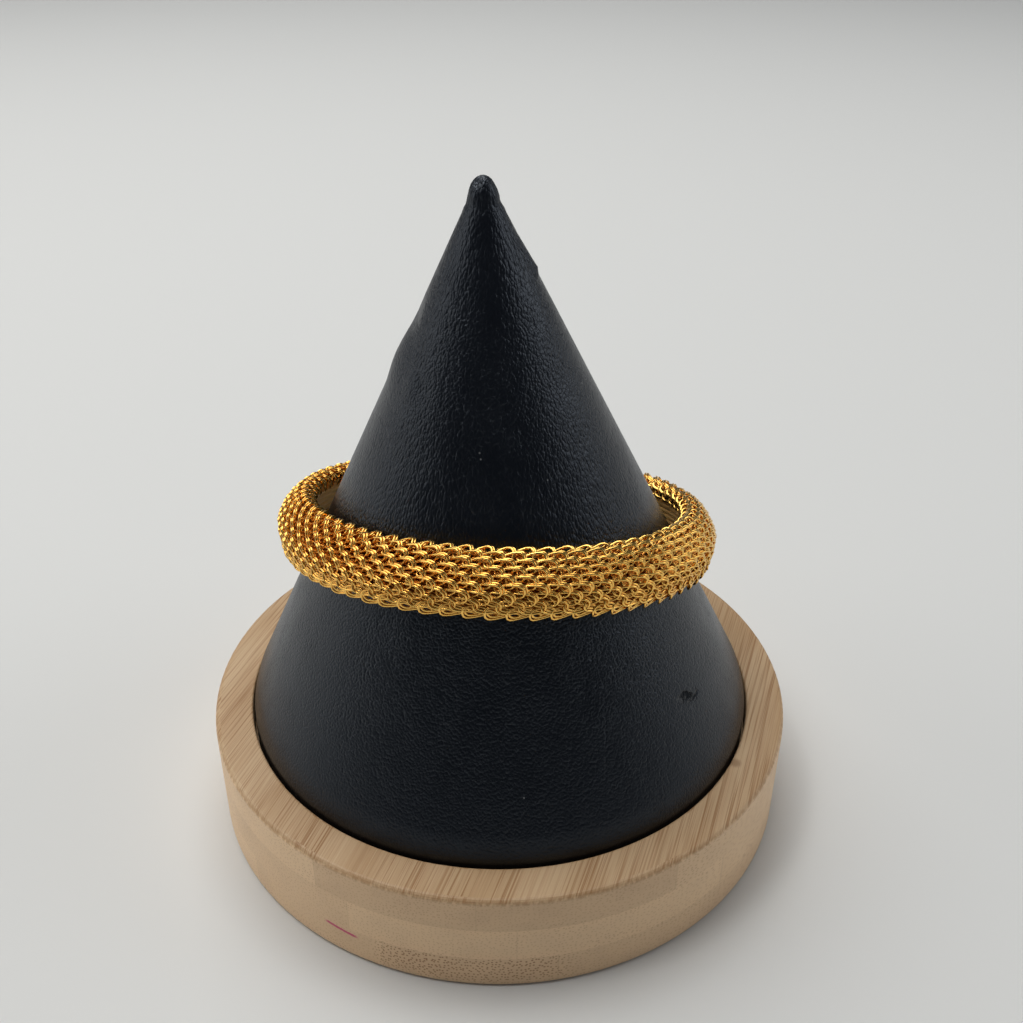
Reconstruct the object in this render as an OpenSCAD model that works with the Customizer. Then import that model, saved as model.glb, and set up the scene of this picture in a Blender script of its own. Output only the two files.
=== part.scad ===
// Oval bracelet of gold wire mesh, lying tilted round the black leather cone of a bamboo display stand.
// Millimetres, Z up. The origin is the middle of the base's underside, and the front is towards -Y.

/* [Bamboo base] */
// Diameter of the base
base_d = 95; // [90:1:120]
// Thickness of the base
base_t = 18; // [12:0.5:25]
// Rounding of the base's edges
base_edge_r = 0.8; // [0.4:0.1:1.5]
// Depth of the recess that the cone stands in
recess_depth = 5; // [3:0.5:8]
// Gap between the cone's foot and the wall of the recess
foot_gap = 0.4; // [0.2:0.1:1]

/* [Leather cone] */
// Diameter of the cone's foot
foot_d = 82; // [70:0.5:84]
// Height of the straight foot above the base
foot_rise = 1.9; // [1:0.1:4]
// Height of the cone above the base, nub included
cone_h = 86; // [70:0.5:110]
// Diameter of the cone's end under the nub
cone_end_d = 5; // [4.8:0.1:7]
// Thickness of the leather wall
leather_t = 2; // [1.5:0.1:3]
// Sideways lean of the cone's top, to the right if positive
cone_lean = -2.1; // [-4:0.1:4]

/* [Nub] */
// Diameter of the nub at its root
nub_d = 4.4; // [3.6:0.1:4.6]
// Height of the nub
nub_h = 4; // [3:0.1:6]
// Diameter of the nub's round top
nub_top_d = 2.8; // [2:0.1:3.4]

/* [Bracelet loop] */
// Width of the opening, from side to side
opening_w = 61.2; // [56:0.2:66]
// Length of the opening, from front to back
opening_l = 64.6; // [60:0.2:72]
// Width of the band, along the arm
band_w = 9.9; // [9:0.1:14]
// Thickness of the band, from its inside to the top of its curved outside
band_t = 4.3; // [4.2:0.1:7]
// How far the cone spreads the band's lower side outwards, in degrees
flare = 18; // [0:1:24]
// How far the front of the loop is tipped up on the cone, in degrees
tip_up = 17.8; // [10:0.2:24]
// How far the right side of the loop is tipped down, in degrees
tip_side = 2.4; // [-4:0.1:4]
// Gap between the loop and the cone where the loop rests on it
seat_gap = 0.2; // [0.1:0.05:0.5]
// How far the loop is slid towards the back from the middle of its room on the cone
slid_back = -0.5; // [-1:0.1:1]
// How far the loop is slid to the right from the middle of its room on the cone
slid_right = -0.6; // [-1:0.1:1]

/* [Mesh] */
// Thickness of the woven sheet of links
mesh_t = 1.2; // [0.8:0.1:1.4]
// How far the mesh's turned-in lips reach in from each side of the band
lip_w = 2.3; // [2:0.1:2.8]

/* [Inner band] */
// Gap between the inner band and the mesh
band_gap = 0.15; // [0.1:0.05:0.3]
// Thickness of the inner band behind the mesh's lips
plate_t = 0.6; // [0.4:0.05:0.8]
// Number of ribs
rib_n = 5; // [3:1:7]
// Depth of the grooves between the ribs
groove_depth = 0.35; // [0.2:0.05:0.5]

/* [Hidden] */

// Heights of the cone: recess floor, top of the straight foot, end of the straight side, top of the nub
floor_z = base_t - recess_depth;
foot_z = base_t + foot_rise;
top_z = base_t + cone_h;
end_z = top_z - nub_h;
foot_r = foot_d / 2;
end_r = cone_end_d / 2;
recess_r = foot_r + foot_gap;
// Share of the foot's rise at which its wall starts to turn into the straight side
turn_start = 0.4;
// How much narrower the straight side is than the foot where it starts
turn_in = 0.1;
side_slope = (foot_r - turn_in - end_r) / (end_z - foot_z);
side_cos = 1 / norm([1, side_slope]);
// Thickness of the thin discs that a hull is stretched over
disc_t = 0.01;
// How deep the nub's root reaches into the cone's end
nub_root = 1.5;
// Points round each rib of the inner band
rib_steps = 6;

function arc(centre, r, from, to, steps) =
    [for (i = [0:steps])
        let (a = from + (to - from) * i / steps)
        [centre[0] + r * cos(a), centre[1] + r * sin(a)]];
function half_ellipse(x, half_t, half_w, from, to, steps) =
    [for (i = [0:steps])
        let (a = from + (to - from) * i / steps)
        [x + half_t * cos(a), half_w * sin(a)]];

// Cone's radius and the x of its middle at a height
function cone_r(z) = end_r + side_slope * (end_z - z);
function cone_x(z) = cone_lean * (z - foot_z) / (end_z - foot_z);

module bamboo_base() {
    r = base_d / 2;
    e = base_edge_r;
    color("burlywood")
        rotate_extrude($fn = 180)
            polygon(concat(
                [[0, 0]],
                arc([r - e, e], e, -90, 0, 4),
                arc([r - e, base_t - e], e, 0, 90, 4),
                arc([recess_r + e / 2, base_t - e / 2], e / 2, 90, 180, 3),
                [[recess_r, floor_z], [0, floor_z]]));
}

// The cone's outline turned solid, drawn in by a wall
module cone_form(wall) {
    hull() {
        translate([0, 0, base_t + turn_start * foot_rise])
            cylinder(r = foot_r - wall, h = disc_t, $fn = 96);
        translate([0, 0, foot_z])
            cylinder(r = foot_r - turn_in - wall, h = disc_t, $fn = 96);
        translate([cone_x(end_z - wall / side_slope), 0, end_z - wall / side_slope])
            cylinder(r = end_r, h = disc_t, $fn = 96);
    }
}

module nub() {
    hull() {
        translate([cone_lean, 0, end_z - nub_root])
            cylinder(d = nub_d, h = nub_root, $fn = 32);
        translate([cone_lean, 0, top_z - nub_top_d / 2])
            sphere(d = nub_top_d, $fn = 32);
    }
}

module leather_cone() {
    foot_h = base_t + turn_start * foot_rise - floor_z;
    color("dimgray")
        union() {
            difference() {
                union() {
                    translate([0, 0, floor_z])
                        cylinder(r = foot_r, h = foot_h, $fn = 96);
                    cone_form(0);
                }
                translate([0, 0, floor_z - 1])
                    cylinder(r = foot_r - leather_t, h = foot_h + 1, $fn = 96);
                cone_form(leather_t);
            }
            nub();
        }
}

// The loop is an oval of four arcs: two tight ones at the front and the back, two flat ones at the sides
oval_c = (opening_l - opening_w) / 2 / (2 - sqrt(2));
tight_r = opening_l / 2 - oval_c;
flat_r = opening_w / 2 + oval_c;
function oval(a) =
    abs(sin(a)) >= abs(cos(a))
        ? [tight_r * cos(a), sign(sin(a)) * oval_c + tight_r * sin(a)]
        : [-sign(cos(a)) * oval_c + flat_r * cos(a), flat_r * sin(a)];

// A point of the loop's own frame, turned as the loop lies on the cone
function tip(p) =
    let (y = p[1] * cos(tip_up) + p[2] * sin(tip_up), z = p[2] * cos(tip_up) - p[1] * sin(tip_up))
    [p[0] * cos(tip_side) + z * sin(tip_side), y, z * cos(tip_side) - p[0] * sin(tip_side)];

// How far out from the opening, and how far down, the flare takes the band's lower side
flare_out = band_w / 2 * sin(flare);
flare_down = band_w / 2 * cos(flare);
// Where the loop's middle goes: centred in its room on the cone, then as low as the cone lets it
loop_y = (side_slope * (opening_l / 2 + flare_out) + flare_down) * sin(tip_up) + slid_back;
room_x = (side_slope * (opening_w / 2 + flare_out) + flare_down) * sin(tip_side) + slid_right;
function loop_at(z) = [cone_x(z) + room_x, loop_y, z];
// The least gap to the cone, measured from the middles of the band's two rounded inner edges
function room(at) =
    min([for (a = [0:3:359], edge = [-1, 1])
        let (
            across = edge * (band_w / 2 - mesh_t),
            o = oval(a) + (mesh_t * cos(flare) - across * sin(flare)) * [cos(a), sin(a)],
            p = tip([o[0], o[1], across * cos(flare) + mesh_t * sin(flare)]) + at
        )
        (norm([p[0] - cone_x(p[2]), p[1]]) - cone_r(p[2])) * side_cos - mesh_t]);
function seated(z, tries) =
    tries == 0 ? z : seated(z + (seat_gap - room(loop_at(z))) / side_slope / side_cos, tries - 1);
loop_z = seated(base_t + cone_h / 3, 5);

// A flat shape, x outwards from the loop's inside and y across the band, flared and carried round the oval
module carried_round() {
    translate(loop_at(loop_z))
        rotate([0, tip_side, 0])
            rotate([-tip_up, 0, 0])
                for (side = [0:3])
                    let (tight = side % 2 == 1, r = tight ? tight_r : flat_r, c = tight ? oval_c : -oval_c)
                    rotate([0, 0, side * 90])
                        translate([c, 0, 0])
                            rotate([0, 0, -45])
                                rotate_extrude(angle = 90, $fn = 180)
                                    translate([r, 0])
                                        rotate(flare)
                                            children();
}

module mesh_band() {
    h = band_w / 2;
    m = mesh_t;
    lip = h - lip_w;
    color("gold")
        carried_round()
            polygon(concat(
                [[0, -lip]],
                arc([m, m - h], m, 180, 270, 4),
                half_ellipse(m, band_t - m, h, -84, 84, 14),
                arc([m, h - m], m, 90, 180, 4),
                [[0, lip], [m, lip]],
                half_ellipse(m, band_t - 2 * m, h - m, 90, -90, 12),
                [[m, -lip]]));
}

// The inner band's face from one side to the other, in round ribs with sharp grooves between them
function ribs(face) =
    [for (i = [0:rib_n * rib_steps])
        let (rise = sqrt(sin(180 * (i % rib_steps) / rib_steps)))
        [band_gap + groove_depth * (1 - rise), face * (2 * i / (rib_n * rib_steps) - 1)]];

// The face shows between the mesh's lips, and the flanges behind it reach out to the curved mesh
module inner_band() {
    h = band_w / 2 - mesh_t;
    face = h + mesh_t - lip_w - band_gap;
    back = mesh_t + band_gap;
    flange = h * sqrt(1 - pow((plate_t + 2 * band_gap) / (band_t - 2 * mesh_t), 2)) - band_gap;
    color("goldenrod")
        carried_round()
            polygon(concat(
                ribs(face),
                [[back, face], [back, flange], [back + plate_t, flange]],
                [[back + plate_t, -flange], [back, -flange], [back, -face]]));
}

bamboo_base();
leather_cone();
mesh_band();
inner_band();
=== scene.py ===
"""Looks of a gold mesh bracelet on its stand: bamboo base, leather cone, ribbed inner band and wire links.
Metres, in the CAD's frame: the origin is the middle of the base's underside and the front is towards -Y."""

import math
import random

import bpy
import numpy as np
from mathutils import Matrix, Vector


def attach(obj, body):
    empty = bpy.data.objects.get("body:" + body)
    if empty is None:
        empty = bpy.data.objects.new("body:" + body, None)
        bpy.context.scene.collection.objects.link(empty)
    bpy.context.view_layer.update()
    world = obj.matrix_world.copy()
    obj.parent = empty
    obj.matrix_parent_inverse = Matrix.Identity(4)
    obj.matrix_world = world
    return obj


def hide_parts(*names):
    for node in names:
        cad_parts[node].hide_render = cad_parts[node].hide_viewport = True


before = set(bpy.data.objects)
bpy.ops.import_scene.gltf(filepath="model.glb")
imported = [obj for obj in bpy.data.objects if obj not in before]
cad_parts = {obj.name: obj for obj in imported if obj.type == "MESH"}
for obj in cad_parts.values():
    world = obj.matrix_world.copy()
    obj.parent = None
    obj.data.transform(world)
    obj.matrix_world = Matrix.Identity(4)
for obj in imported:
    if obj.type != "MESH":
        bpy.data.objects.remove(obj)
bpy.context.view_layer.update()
mm = 0.001


# The camera stands in front of the stand and looks down at it, where the photograph was taken from.
camera_at = Vector((1.806, -157.923, 150.955)) * mm
camera_looks = Vector((0, 0.84604991, -0.53310369))
camera_roll = math.radians(0.2818)
bpy.ops.object.camera_add()
camera = bpy.context.object
camera.name = "camera"
level = Vector((1, 0, 0))
upright = level.cross(camera_looks)
right = level * math.cos(camera_roll) + upright * math.sin(camera_roll)
up = upright * math.cos(camera_roll) - level * math.sin(camera_roll)
camera.matrix_world = Matrix((
    (right.x, up.x, -camera_looks.x, camera_at.x),
    (right.y, up.y, -camera_looks.y, camera_at.y),
    (right.z, up.z, -camera_looks.z, camera_at.z),
    (0, 0, 0, 1),
))
camera.data.sensor_width = 36
camera.data.lens = 42.23
camera.data.clip_start = 0.01
camera.data.clip_end = 20
bpy.context.scene.camera = camera


# The base: a disc turned from bamboo board, three pressed layers of strips glued with their grain one way.
# A shallow recess for the cone is cut in its top, the edges are eased and the faces sanded, with a thin
# satin lacquer. The CAD body stays, and its finish shows strips, glue lines and the fibres' cut ends.
layer_t = 6.0
strip_w = 24.8
grain_turn = math.radians(18.6)


class Reading:
    """One output of a finish's nodes. Sums and products of readings become Math nodes."""

    def __init__(self, finish, socket):
        self.finish = finish
        self.socket = socket

    def math(self, operation, *others):
        return self.finish.node("ShaderNodeMath", {"operation": operation}, [self, *others])

    def __add__(self, other):
        return self.math("ADD", other)

    def __mul__(self, other):
        return self.math("MULTIPLY", other)

    __radd__ = __add__
    __rmul__ = __mul__

    def __sub__(self, other):
        return self.math("SUBTRACT", other)

    def __rsub__(self, other):
        return self * -1.0 + other

    def __truediv__(self, other):
        return self.math("DIVIDE", other)

    def __pow__(self, other):
        return self.math("POWER", other)

    def rise(self, low, high):
        """0 below low, 1 above high and a smooth rise between them; low may be the greater."""
        settings = {"interpolation_type": "SMOOTHSTEP", "clamp": True}
        values = {"Value": self, "From Min": low, "From Max": high}
        return self.finish.node("ShaderNodeMapRange", settings, values)

    def floor(self):
        return self.math("FLOOR")

    def size(self):
        return self.math("ABSOLUTE")

    def within(self):
        return self.finish.node("ShaderNodeClamp", {}, [self])


class Finish:
    """A material with its main shader, and short ways to add nodes to it."""

    def __init__(self, name):
        self.material = bpy.data.materials.new(name)
        self.material.use_nodes = True
        self.nodes = self.material.node_tree.nodes
        self.links = self.material.node_tree.links
        self.shader = self.nodes["Principled BSDF"]

    def node(self, kind, settings, values, out=0):
        node = self.nodes.new(kind)
        for name, value in settings.items():
            setattr(node, name, value)
        pairs = values.items() if isinstance(values, dict) else enumerate(values)
        for key, value in pairs:
            self.put(node.inputs[key], value)
        return Reading(self, node.outputs[out])

    def put(self, socket, value):
        if isinstance(value, Reading):
            self.links.new(value.socket, socket)
        else:
            socket.default_value = value

    def place(self):
        """The three object coordinates, in millimetres."""
        spot = self.node("ShaderNodeTexCoord", {}, {}, out="Object")
        parts = self.nodes.new("ShaderNodeSeparateXYZ")
        self.links.new(spot.socket, parts.inputs[0])
        return [Reading(self, parts.outputs[i]) * 1000.0 for i in range(3)]

    def vector(self, x, y, z):
        return self.node("ShaderNodeCombineXYZ", {}, [x, y, z])

    def mottle(self, at, scale, detail=2.0, rough=0.5):
        """Smooth noise round 0.5."""
        values = {"Vector": at, "Scale": scale, "Detail": detail, "Roughness": rough}
        return self.node("ShaderNodeTexNoise", {"noise_dimensions": "3D"}, values, out=0)

    def cells(self, at, scale, scatter=1.0, space="3D"):
        """Distance to the nearest of many scattered spots."""
        settings = {"feature": "F1", "voronoi_dimensions": space}
        values = {"Vector": at, "Scale": scale, "Randomness": scatter}
        return self.node("ShaderNodeTexVoronoi", settings, values, out="Distance")

    def dice(self, at):
        """A random number from 0 to 1 for each whole-number spot."""
        return self.node("ShaderNodeTexWhiteNoise", {"noise_dimensions": "3D"}, {"Vector": at}, out="Value")

    def blend(self, share, one, other):
        """Mixes two colours, each a reading or red, green and blue."""
        node = self.nodes.new("ShaderNodeMix")
        node.data_type = "RGBA"
        self.put(node.inputs["Factor"], share)
        for socket, value in ((node.inputs[6], one), (node.inputs[7], other)):
            self.put(socket, value if isinstance(value, Reading) else (*value, 1.0))
        return Reading(self, node.outputs[2])

    def near(self, places, at):
        """Distance from a spot, in millimetres."""
        settings = {"operation": "DISTANCE"}
        return self.node("ShaderNodeVectorMath", settings, [self.vector(*places), at], out="Value")

    def bump(self, height, depth):
        """A relief from a height of 0 to 1 that is depth millimetres deep."""
        return self.node("ShaderNodeBump", {}, {"Height": height, "Strength": 1.0, "Distance": depth * mm})

    def set(self, **values):
        for name, value in values.items():
            self.put(self.shader.inputs[name.replace("_", " ")], value)


bamboo = Finish("sanded bamboo")
x, y, z = bamboo.place()
along = x * math.sin(grain_turn) + y * math.cos(grain_turn)
across = x * math.cos(grain_turn) - y * math.sin(grain_turn)

# Strips: each layer has its own, and each has its own tone
layer = (z / layer_t).floor()
shift = layer * 5.45 + 1.5
strip = ((across + shift) / strip_w).floor()
strip_tone = bamboo.dice(bamboo.vector(strip, layer, 0.5))
from_joint = (across + shift - strip * strip_w - strip_w / 2).size() * -1.0 + strip_w / 2
glue = from_joint.rise(0.14, 0.04) * 0.7

# Fibre bundles: rods along the grain, whose cut ends are dots on the front, darkest in the lowest layer
wander = bamboo.mottle(bamboo.vector(across * 0.08, along * 0.03, z * 0.08), 1.0)
rod_at = bamboo.vector(across + wander * 1.2 + strip_tone * 40.0, z + wander * 0.8, 0.0)
rods = bamboo.cells(rod_at, 1.75, scatter=0.8, space="2D")
patch = bamboo.mottle(bamboo.vector(across * 0.12 + strip_tone * 9.0, along * 0.01, z * 0.3), 1.0)
lowest = z.rise(6.4, 5.4) * z.rise(-0.5, 2.6) * across.rise(-4.0, -1.0) * across.rise(26.0, 21.0)
crowd = patch.rise(0.45, 0.7) * 0.2 + lowest * 0.8
rod_dark = (rods - crowd * 0.06 - 0.16).rise(0.14, -0.08)

# Brown streaks in the top face, in clusters, and a fringe of their ends round its outer edge
top = z.rise(17.35, 17.85)
streak_at = bamboo.vector(across * 4.0, along * 0.035, strip * 3.1)
streaks = bamboo.mottle(streak_at, 1.0, detail=2.0, rough=0.65)
clusters = bamboo.mottle(bamboo.vector(across * 0.22, along * 0.03, 4.5), 1.0).rise(0.32, 0.6)
streaks = streaks.rise(0.48, 0.62) * (clusters * 0.7 + 0.3)
torn_ends = bamboo.mottle(bamboo.vector(x, y, z * 0.4), 1.6).rise(0.35, 0.6)
fringe = z.rise(17.0, 17.5) * z.rise(18.05, 17.6) * torn_ends

# Fine fibres between the bundles, and paler and darker clouds
fine = bamboo.mottle(bamboo.vector(across * 6.0, along * 0.08, z * 6.0), 1.0, detail=3.0, rough=0.6)
cloud = bamboo.mottle(bamboo.vector(across * 0.16, along * 0.03, z * 0.2), 1.0, detail=3.0)
wood = bamboo.blend(cloud.rise(0.3, 0.7), (0.44, 0.28, 0.145), (0.56, 0.395, 0.235))
wood = bamboo.blend(strip_tone * 0.4, wood, (0.44, 0.275, 0.14))
wood = bamboo.blend(fine.rise(0.5, 0.72) * 0.4, wood, (0.62, 0.47, 0.30))
wood = bamboo.blend(fine.rise(0.48, 0.25) * 0.35, wood, (0.33, 0.19, 0.09))
# Painted light: the sides below the top's edge are made paler, standing in for the light they catch from the
# floor and the room
wood = bamboo.blend(top * -0.75 + 0.75, wood, (1.0, 0.71, 0.435))
side_tone = (strip_tone * 0.3 + cloud.rise(0.4, 0.7) * 0.15) * (top * -0.8 + 1.0)
wood = bamboo.blend(side_tone, wood, (0.50, 0.31, 0.175))
wood = bamboo.blend(rod_dark * (crowd * 0.7 + 0.22) * (top * -0.6 + 1.0), wood, (0.37, 0.16, 0.07))
wood = bamboo.blend(streaks * top * 0.7, wood, (0.25, 0.11, 0.032))
wood = bamboo.blend(fringe * 0.5, wood, (0.32, 0.16, 0.06))
wood = bamboo.blend(glue * (top * -0.05 + 0.15), wood, (0.30, 0.165, 0.075))

# A small knot in the top on the right, and somebody's stroke of pink pen low on the front left
knot_at = (36.9, -20.2, 18.0)
stroke_height = 2.81
stroke_slope = 0.104
knot = bamboo.near((x, y, z), knot_at)
wood = bamboo.blend(knot.rise(1.3, 0.4) * 0.6, wood, (0.22, 0.115, 0.05))
stroke = (z + x * stroke_slope + fine * 0.3 - stroke_height).size().rise(0.34, 0.14)
stroke = stroke * x.rise(-25.6, -24.9) * x.rise(-20.0, -21.0)
wood = bamboo.blend(stroke * y.rise(-30.0, -35.0) * 0.9, wood, (0.62, 0.04, 0.17))
relief = fine * 0.5 - rod_dark * 0.3 - streaks * 0.3 - glue * 0.15 + 0.5
bamboo.set(
    Base_Color=wood,
    Roughness=(0.52 - fine * 0.1 + rod_dark * 0.08),
    Normal=bamboo.bump(relief, 0.03),
)
bamboo.shader.inputs["Specular IOR Level"].default_value = 0.35

base_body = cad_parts["bamboo_base"]
base_body.data.materials.clear()
base_body.data.materials.append(bamboo.material)


# The cone: black imitation leather drawn over a stiff cone, 2 mm thick in all, with a straight foot that
# stands in the base's recess. At the top it is gathered into a small nub. Below the nub the wrap's edge
# shows as a step on the left and a little tag on the right. The cone leans slightly to the left.
foot_r = 41.0
floor_z = 13.0
turn_z = 18.76
foot_z = 19.9
end_z = 100.0
top_z = 104.0
end_r = 2.5
cone_slope = 0.479401
cone_lean = -2.1
leather_t = 2.0


def nothing_selected():
    if bpy.context.object and bpy.context.object.mode != "OBJECT":
        bpy.ops.object.mode_set(mode="OBJECT")
    bpy.ops.object.select_all(action="DESELECT")


def finished(piece, name, material, node):
    """Names a piece, gives it its finish, hangs it under the root and hides the CAD solid it stands for."""
    piece.name = name
    piece.data.name = name
    piece.data.materials.clear()
    piece.data.materials.append(material)
    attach(piece, "root")
    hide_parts(node)


def cone_r(height):
    return end_r + cone_slope * (end_z - height)


def cone_x(height):
    return cone_lean * (height - foot_z) / (end_z - foot_z)


# Height and radius of each ring: the straight foot and its rounded turn, the side, the nub and its round top
side_rings = 54
rings = [(13.6, foot_r), (18.3, foot_r), (turn_z, foot_r - 0.02)]
rings += [(19.3, foot_r - 0.12), (foot_z, foot_r - 0.35)]
rings += [(h, cone_r(h)) for h in np.linspace(21.2, end_z - 1.2, side_rings)]
rings += [(end_z - 0.35, 2.72), (end_z + 0.15, 2.4), (end_z + 0.6, 2.22), (end_z + 1.4, 2.12)]
rings += [(end_z + 2.1, 1.93), (end_z + 2.8, 1.66), (end_z + 3.35, 1.27), (end_z + 3.72, 0.85)]
rings += [(top_z - 0.08, 0.42)]

nothing_selected()
bpy.ops.mesh.primitive_circle_add(vertices=144, radius=foot_r * mm, location=(0, 0, floor_z * mm))
cone = bpy.context.object
bpy.ops.object.transform_apply(location=True, rotation=True, scale=True)
bpy.ops.object.mode_set(mode="EDIT")
bpy.ops.mesh.select_all(action="SELECT")
last_h, last_r, last_x = floor_z, foot_r, 0.0
for height, radius in rings:
    middle = cone_x(height) if height > foot_z else 0.0
    step = ((middle - last_x) * mm, 0, (height - last_h) * mm)
    bpy.ops.mesh.extrude_region_move(TRANSFORM_OT_translate={"value": step})
    shrink = radius / last_r
    bpy.ops.transform.resize(value=(shrink, shrink, 1), center_override=(middle * mm, 0, height * mm))
    last_h, last_r, last_x = height, radius, middle
bpy.ops.mesh.extrude_region_move(TRANSFORM_OT_translate={"value": (0, 0, (top_z - last_h) * mm)})
bpy.ops.mesh.merge(type="CENTER")
bpy.ops.mesh.select_all(action="SELECT")
bpy.ops.mesh.normals_make_consistent(inside=False)


def push(at, by, reach):
    """Pulls the leather at one spot by a small distance, and what lies within reach of it along with it."""
    bpy.ops.mesh.select_all(action="DESELECT")
    bpy.ops.object.mode_set(mode="OBJECT")
    spot = Vector(at) * mm
    nearest = min(cone.data.vertices, key=lambda v: (v.co - spot).length)
    nearest.select = True
    bpy.ops.object.mode_set(mode="EDIT")
    bpy.ops.transform.translate(
        value=Vector(by) * mm,
        use_proportional_edit=True,
        proportional_edit_falloff="SMOOTH",
        proportional_size=reach * mm,
    )


# The step on the left and the tag on the right, the dents in the nub, and the fold on the left flank
bpy.ops.mesh.select_mode(type="VERT")
push((cone_x(79) - cone_r(79), -1.0, 79), (-0.55, 0, 0.1), 6.5)
push((cone_x(84.5) - cone_r(84.5), -1.0, 84.5), (0.35, 0, 0), 3.5)
push((cone_x(91) + cone_r(91), -0.5, 91), (0.45, 0, 0), 1.7)
push((cone_x(93) + cone_r(93), -0.5, 93), (0.3, 0, 0), 3.5)
push((cone_lean - 0.9, -1.0, top_z - 0.7), (0.15, 0.2, -0.3), 1.3)
push((cone_lean - 2.1, -0.4, end_z + 0.6), (-0.15, 0, -0.1), 0.9)
push((cone_lean + 1.6, -0.4, end_z + 2.6), (-0.3, 0, 0), 1.4)
push((-12.1, -7.9, 77.5), (-0.2, -0.1, 0), 2.6)
push((-10.4, -9.9, 77.0), (0.08, 0.15, 0), 2.8)
bpy.ops.object.mode_set(mode="OBJECT")
wall = cone.modifiers.new("wall", "SOLIDIFY")
wall.thickness = leather_t * mm
wall.offset = -1
bpy.ops.object.modifier_apply(modifier="wall")
bpy.ops.object.shade_smooth_by_angle(angle=math.radians(50))

leather = Finish("black grained leather")
x, y, z = leather.place()
# Pebbles half a millimetre across, drawn out up and down the cone towards its top, where the leather is
# gathered, and flatter in patches and low down, where it is pulled tight
drawn = z.rise(50.0, 98.0) * -0.5 + 0.85
bend = leather.mottle(leather.vector(x, y, z * drawn), 1.4, detail=1.0)
spot = leather.vector(x + bend * 0.5, y + bend * 0.3, z * drawn - bend * 0.5)
pebbles = leather.cells(spot, 2.7) ** 2.0 * -1.6 + 1.0
small = leather.mottle(leather.vector(x, y, z * 0.7), 6.0, detail=2.0, rough=0.6)
swell = leather.mottle(leather.vector(x, y, z * 0.5), 0.3, detail=2.0)
folds = leather.mottle(leather.vector(x * 1.5, y * 1.5, z * 0.15), 1.0, detail=2.0)
upper = z.rise(60.0, 95.0)
pulled = z.rise(52.0, 22.0) * -0.5 + 1.0
grain = (pebbles * (swell * 0.9 + 0.35) + small * 0.3) * pulled + folds * upper * 1.4
black = leather.blend(grain.rise(0.4, 1.3), (0.0006, 0.0008, 0.0022), (0.0026, 0.0030, 0.0052))

# A torn nick low on the right with its fluff, and a few specks of dust
nick_height = 50.6
nick_slope = 0.62
dust = (
    (-2.56, -16.32, 71.06),
    (-2.39, -16.70, 70.28),
    (11.67, -4.83, 76.00),
    (6.73, -16.49, 66.97),
    (3.75, -37.09, 27.39),
)
torn = leather.mottle(leather.vector(x, y, z), 0.9, detail=3.0)
nick = (z + x * nick_slope + torn * 2.6 - nick_height).size().rise(0.5, 0.1)
nick = nick * x.rise(26.3, 27.6) * x.rise(30.6, 29.0) * y.rise(-10.0, -15.0)
black = leather.blend(nick, black, (0.0002, 0.0002, 0.0002))
fluff = nick * torn.rise(0.52, 0.58) * 0.35
for speck in dust:
    fluff = fluff + leather.near((x, y, z), speck).rise(0.19, 0.05) * 0.7
black = leather.blend(fluff.within(), black, (0.22, 0.22, 0.22))
leather.set(
    Base_Color=black,
    Roughness=swell * 0.12 - pebbles * 0.05 + 0.30 + nick * 0.6,
    Normal=leather.bump(grain - nick * 9.0, 0.08),
)
leather.shader.inputs["Specular IOR Level"].default_value = 0.46
leather.shader.inputs["Specular Tint"].default_value = (0.74, 0.85, 1.0, 1.0)
finished(cone, "leather_cone_skin", leather.material, "leather_cone")


# The inner band: one strip of gold-plated brass rolled with round ribs along its face and bent into a loop.
# Its edges lie behind the mesh's turned-in lips. The plating is smooth.
loop_at = (-0.433355, 5.89688, 45.6656)

plating = Finish("rolled gold band")
x, y, z = plating.place()
fog = plating.mottle(plating.vector(x, y, z), 0.5, detail=3.0)
scuffs = plating.mottle(plating.vector(x * 2.0, y * 2.0, z * 9.0), 1.0, detail=2.0)
# Painted shade: the side that faces the mesh is made dark brown, less metallic and rougher, standing in for
# the shade between band and links
faces = plating.node("ShaderNodeNewGeometry", {}, {}, out="Normal")
from_middle = plating.vector(x - loop_at[0], y - loop_at[1], (z - loop_at[2]) * 0.3)
dot = {"operation": "DOT_PRODUCT"}
turned = plating.node("ShaderNodeVectorMath", dot, [faces, from_middle], out="Value")
back = turned.rise(0.0, 6.0)
gold_tone = plating.blend(fog, (1.0, 0.58, 0.18), (1.0, 0.68, 0.28))
plating.set(
    Base_Color=plating.blend(back, gold_tone, (0.07, 0.03, 0.01)),
    Metallic=back * -0.15 + 0.5,
    Roughness=fog * 0.12 + scuffs * 0.08 + 0.34 + back * 0.15,
    Normal=plating.bump(scuffs, 0.01),
)
band_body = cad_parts["inner_band"]
band_body.data.materials.clear()
band_body.data.materials.append(plating.material)


# The mesh: small oval links of doubled gold wire, two layers of about nine hundred, twisted so that each
# lies over the next and over the rows above and below it. The closed sheet is bent round into a D-shaped
# tube whose two edges turn in as lips over the inner band.
opening_w = 61.2
opening_l = 64.6
band_w = 9.9
band_t = 4.3
mesh_t = 1.2
lip_w = 2.3
flare = math.radians(18)
tip_up = math.radians(17.8)
tip_side = math.radians(2.4)

links_round = 72
rows = 13
link_corners = 16
wire_r = 0.172
strand_apart = (0.29, 0.22, 0.22)
link_half_l = 1.78
link_half_w = 0.95
link_fullness = 0.8
link_twist = 0.15
link_lean = 0.42
link_tilt = 0.36
low_lean = -0.22
low_tilt = -0.3
turning_row = 8.5
first_row = 0.95
sheet_depth = 0.72
lip_depth = 0.45
first_link = 0.31
inner_depth = 0.48
inner_shift = (1.1, 0.35)
loose_lean = 3
loose_roll = 4
loose_shift = (0.07, 0.04, 0.04)

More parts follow.
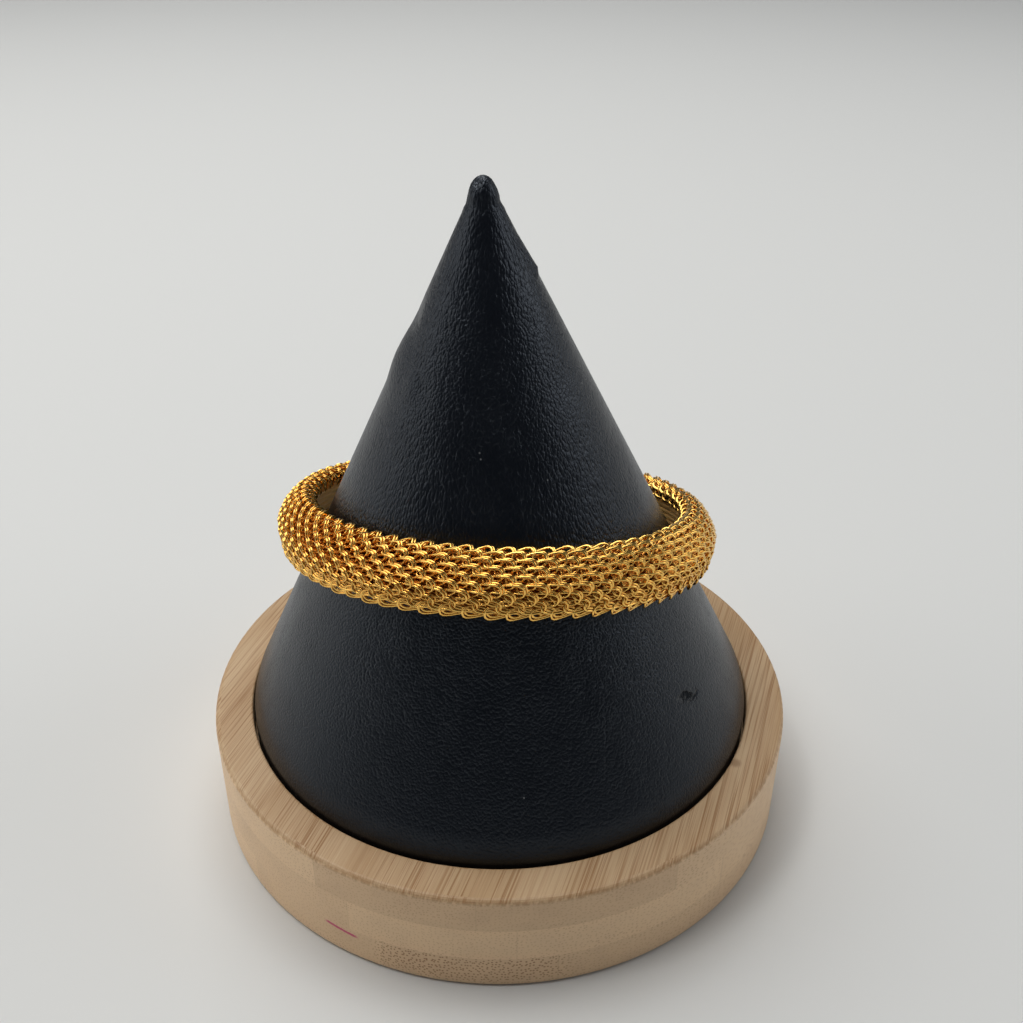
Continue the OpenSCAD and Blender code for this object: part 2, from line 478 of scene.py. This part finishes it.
# The loop's inside is an oval of four arcs, and the links are counted along a line 2.25 mm outside it
oval_c = (opening_l - opening_w) / 2 / (2 - math.sqrt(2))
tight_r = opening_l / 2 - oval_c
flat_r = opening_w / 2 + oval_c
count_line = 2.25
quarter = math.pi / 2
arc_starts = np.cumsum([0, tight_r + count_line, flat_r + count_line, tight_r + count_line]) * quarter
loop_length = 2 * quarter * (tight_r + flat_r + 2 * count_line)
pitch = loop_length / links_round


def section_line(depth):
    """Points of the line down the middle of the sheet of links across the band, from its upper lip round the
    outside to its lower lip. Each has the distance from the inside and the height over the band's middle."""
    half = band_w / 2
    corner = half - mesh_t
    lip = half - lip_w
    points = [(lip_depth, lip + (corner - lip) * i / 8) for i in range(8)]
    points += [
        (mesh_t - (mesh_t - lip_depth) * math.cos(a), corner + (mesh_t - depth) * math.sin(a))
        for a in np.linspace(0, quarter, 12)[:-1]
    ]
    points += [
        (mesh_t + (band_t - mesh_t - depth) * math.cos(a), (half - depth) * math.sin(a))
        for a in np.linspace(quarter, 0, 60)
    ]
    points += [(out, -height) for out, height in reversed(points[:-1])]
    return np.array(points)


line = section_line(sheet_depth)
steps = np.linalg.norm(np.diff(line, axis=0), axis=1)
line_at = np.concatenate([[0], np.cumsum(steps)])
line_length = line_at[-1]
row_apart = (line_length - 2 * first_row) / (rows - 1)
along_line = np.gradient(line, line_at, axis=0)
along_line /= np.linalg.norm(along_line, axis=1)[:, None]
out_of_line = np.stack([-along_line[:, 1], along_line[:, 0]], axis=1)
if out_of_line[len(line) // 2, 0] < 0:
    out_of_line = -out_of_line


def on_band(round_loop, across_band, out):
    """Takes places on the flat sheet, in mm, to places on the bracelet as it lies on the cone, in metres."""
    across_band = np.clip(across_band, -0.6, line_length + 0.6)
    middle = [np.interp(across_band, line_at, line[:, i]) for i in range(2)]
    over = across_band - np.clip(across_band, 0, line_length)
    normal = [np.interp(across_band, line_at, out_of_line[:, i]) for i in range(2)]
    length = np.hypot(normal[0], normal[1])
    ends = [np.interp(across_band, line_at, along_line[:, i]) for i in range(2)]
    off = middle[0] + normal[0] / length * out + ends[0] * over
    rise = middle[1] + normal[1] / length * out + ends[1] * over
    off, rise = (
        off * math.cos(flare) - rise * math.sin(flare),
        off * math.sin(flare) + rise * math.cos(flare),
    )
    half_front = (tight_r + count_line) * quarter / 2
    s = (round_loop + half_front) % loop_length
    which = np.searchsorted(arc_starts, s, side="right") - 1
    tight = which % 2 == 0
    inside = np.where(tight, tight_r, flat_r)
    angle = -quarter * 1.5 + which * quarter + (s - arc_starts[which]) / (inside + count_line)
    heading = -quarter + which * quarter
    shift = np.where(tight, oval_c, -oval_c)
    px = shift * np.cos(heading) + (inside + off) * np.cos(angle)
    py = shift * np.sin(heading) + (inside + off) * np.sin(angle)
    qy = py * math.cos(tip_up) + rise * math.sin(tip_up)
    qz = rise * math.cos(tip_up) - py * math.sin(tip_up)
    qx = px * math.cos(tip_side) + qz * math.sin(tip_side)
    qz = qz * math.cos(tip_side) - px * math.sin(tip_side)
    return np.stack([qx + loop_at[0], qy + loop_at[1], qz + loop_at[2]], axis=1) * mm


# One link: a ring of wire drawn out to a long round-ended shape and twisted, then doubled
nothing_selected()
bpy.ops.mesh.primitive_circle_add(vertices=link_corners, radius=link_half_w * mm, rotation=(quarter, 0, 0))
link = bpy.context.object
bpy.ops.object.transform_apply(location=True, rotation=True, scale=True)
for corner in link.data.vertices:
    turn = math.atan2(corner.co.z, corner.co.x)
    wide, high = math.cos(turn), math.sin(turn)
    corner.co.x = math.copysign(abs(wide) ** link_fullness, wide) * link_half_l * mm
    corner.co.z = math.copysign(abs(high) ** link_fullness, high) * link_half_w * mm
    corner.co.y = -link_twist * mm * math.sin(2 * turn)
bpy.ops.object.convert(target="CURVE")
link.data.bevel_depth = wire_r * mm
link.data.bevel_resolution = 1
bpy.ops.object.convert(target="MESH")
link = bpy.context.object
bpy.ops.object.mode_set(mode="EDIT")
bpy.ops.mesh.select_all(action="SELECT")
bpy.ops.mesh.remove_doubles(threshold=0.00001)
bpy.ops.mesh.normals_make_consistent(inside=False)
bpy.ops.transform.translate(value=Vector(strand_apart) * -0.5 * mm)
bpy.ops.mesh.duplicate_move(TRANSFORM_OT_translate={"value": Vector(strand_apart) * mm})
bpy.ops.object.mode_set(mode="OBJECT")
bpy.ops.object.shade_smooth()
link_points = len(link.data.vertices)

gold = Finish("gold wire")
height = gold.node("ShaderNodeAttribute", {"attribute_name": "height"}, {}, out="Fac")
x, y, z = gold.place()
tarnish = gold.mottle(gold.vector(x, y, z), 0.35, detail=3.0)
speckle = gold.mottle(gold.vector(x, y, z), 3.0, detail=1.0)
# Painted shade: the wire is made darker and redder the lower it lies under the sheet's outer face, so the
# inner layer is darkest
wire_shade_and_tarnish = gold.blend(height.rise(-0.45, 0.4), (0.42, 0.13, 0.014), (1.0, 0.60, 0.15))
wire_shade_and_tarnish = gold.blend(tarnish.rise(0.45, 0.75) * 0.3, wire_shade_and_tarnish, (0.86, 0.48, 0.10))
gold.set(
    Base_Color=wire_shade_and_tarnish,
    Metallic=1.0,
    Roughness=tarnish * 0.1 + speckle * 0.1 + 0.10,
)

# Half a loop of flat sheet, links side by side and rows on rows, each row half a link further on. The upper
# rows lean one way, as roof tiles do, and the lowest ones the other way. The inner layer leans back and lies
# a little deeper and further on, behind the gaps of the outer one.
dice = random.Random(11)
for name, half, inner in (
    ("mesh_links_front", 0, 0),
    ("mesh_links_back", 1, 0),
    ("mesh_links_front_inner", 0, 1),
    ("mesh_links_back_inner", 1, 1),
):
    nothing_selected()
    sheet = link.copy()
    sheet.data = link.data.copy()
    bpy.context.scene.collection.objects.link(sheet)
    bpy.context.view_layer.objects.active = sheet
    sheet.select_set(True)
    for label, count, offset in (
        ("round", links_round // 2, (pitch * mm, 0, 0)),
        ("rows", rows, (pitch / 2 * mm, 0, -row_apart * mm)),
    ):
        array = sheet.modifiers.new(label, "ARRAY")
        array.count = count
        array.use_relative_offset = False
        array.use_constant_offset = True
        array.constant_offset_displace = offset
        bpy.ops.object.modifier_apply(modifier=label)
    flat = np.empty(len(sheet.data.vertices) * 3, np.float32)
    sheet.data.vertices.foreach_get("co", flat)
    flat = flat.reshape(-1, 3).astype(float) / mm
    for number, first in enumerate(range(0, len(flat), link_points)):
        one = flat[first:first + link_points]
        centre = one.mean(axis=0)
        lean = math.radians(dice.uniform(-loose_lean, loose_lean))
        roll = math.radians(dice.uniform(-loose_roll, loose_roll))
        dx, dy, dz = (one - centre).T
        row = number // (links_round // 2)
        upper = max(0, min(1, (turning_row - row) / 3 + 0.5))
        leans = low_lean + (link_lean - low_lean) * upper
        tilts = low_tilt + (link_tilt - low_tilt) * upper
        dy = dy - (leans * dx / link_half_l + tilts * dz / link_half_w) * (1 - inner * 1.5)
        dx, dz = dx * math.cos(lean) - dz * math.sin(lean), dx * math.sin(lean) + dz * math.cos(lean)
        dy, dz = dy * math.cos(roll) - dz * math.sin(roll), dy * math.sin(roll) + dz * math.cos(roll)
        moved = [dice.uniform(-most, most) for most in loose_shift]
        flat[first:first + link_points] = np.stack([dx, dy, dz], axis=1) + centre + moved
    flat[:, 1] += inner * inner_depth
    round_loop = flat[:, 0] + first_link + half * loop_length / 2 - loop_length / 4 + inner * inner_shift[0]
    across_band = first_row - flat[:, 2] + inner * inner_shift[1]
    placed = on_band(round_loop, across_band, -flat[:, 1])
    sheet.data.vertices.foreach_set("co", placed.astype(np.float32).ravel())
    # The height of each point over the sheet's middle, which the gold's finish turns into painted shade
    # lower down
    mark = sheet.data.attributes.new("height", "FLOAT", "POINT")
    mark.data.foreach_set("value", (-flat[:, 1]).astype(np.float32))
    sheet.data.update()
    finished(sheet, name, gold.material, "mesh_band")
bpy.data.objects.remove(link)


# The floor is a plain pale surface, lit by large soft lights from above and from both sides. The room in
# front is dim, so that the leather stays dark and the gold has depth.
nothing_selected()
bpy.ops.mesh.primitive_plane_add(size=6)
floor = bpy.context.object
floor.name = "floor"
paper = Finish("pale floor")
paper.set(Base_Color=(0.67, 0.67, 0.655, 1.0), Roughness=0.7)
paper.shader.inputs["Specular IOR Level"].default_value = 0.2
floor.data.materials.append(paper.material)


def soft_light(name, at, aim, width, height, power, colour):
    bpy.ops.object.light_add(type="AREA", location=at)
    lamp = bpy.context.object
    lamp.name = name
    lamp.data.shape = "RECTANGLE"
    lamp.data.size = width
    lamp.data.size_y = height
    lamp.data.energy = power
    lamp.data.color = colour
    lamp.rotation_euler = (Vector(aim) - Vector(at)).to_track_quat("-Z", "Y").to_euler()


soft_light("above", (-0.2, 0.35, 1.0), (0, 0, 0), 1.0, 1.0, 10.0, (1.0, 0.995, 0.98))
soft_light("left", (-1.1, 0.1, 0.5), (0, 0, 0.04), 0.9, 0.9, 3.3, (1.0, 0.99, 0.97))
soft_light("right", (1.0, 0.15, 0.5), (0, 0, 0.04), 0.8, 0.6, 2.8, (0.97, 0.985, 1.0))
soft_light("lamp", (-0.35, -0.15, 0.9), (0, 0, 0.05), 0.2, 0.2, 1.0, (1.0, 0.99, 0.96))

world = bpy.data.worlds.new("dim room")
bpy.context.scene.world = world
world.use_nodes = True
world.node_tree.nodes["Background"].inputs["Color"].default_value = (0.80, 0.89, 1.0, 1.0)
world.node_tree.nodes["Background"].inputs["Strength"].default_value = 0.10
bpy.context.scene.view_settings.view_transform = "Standard"
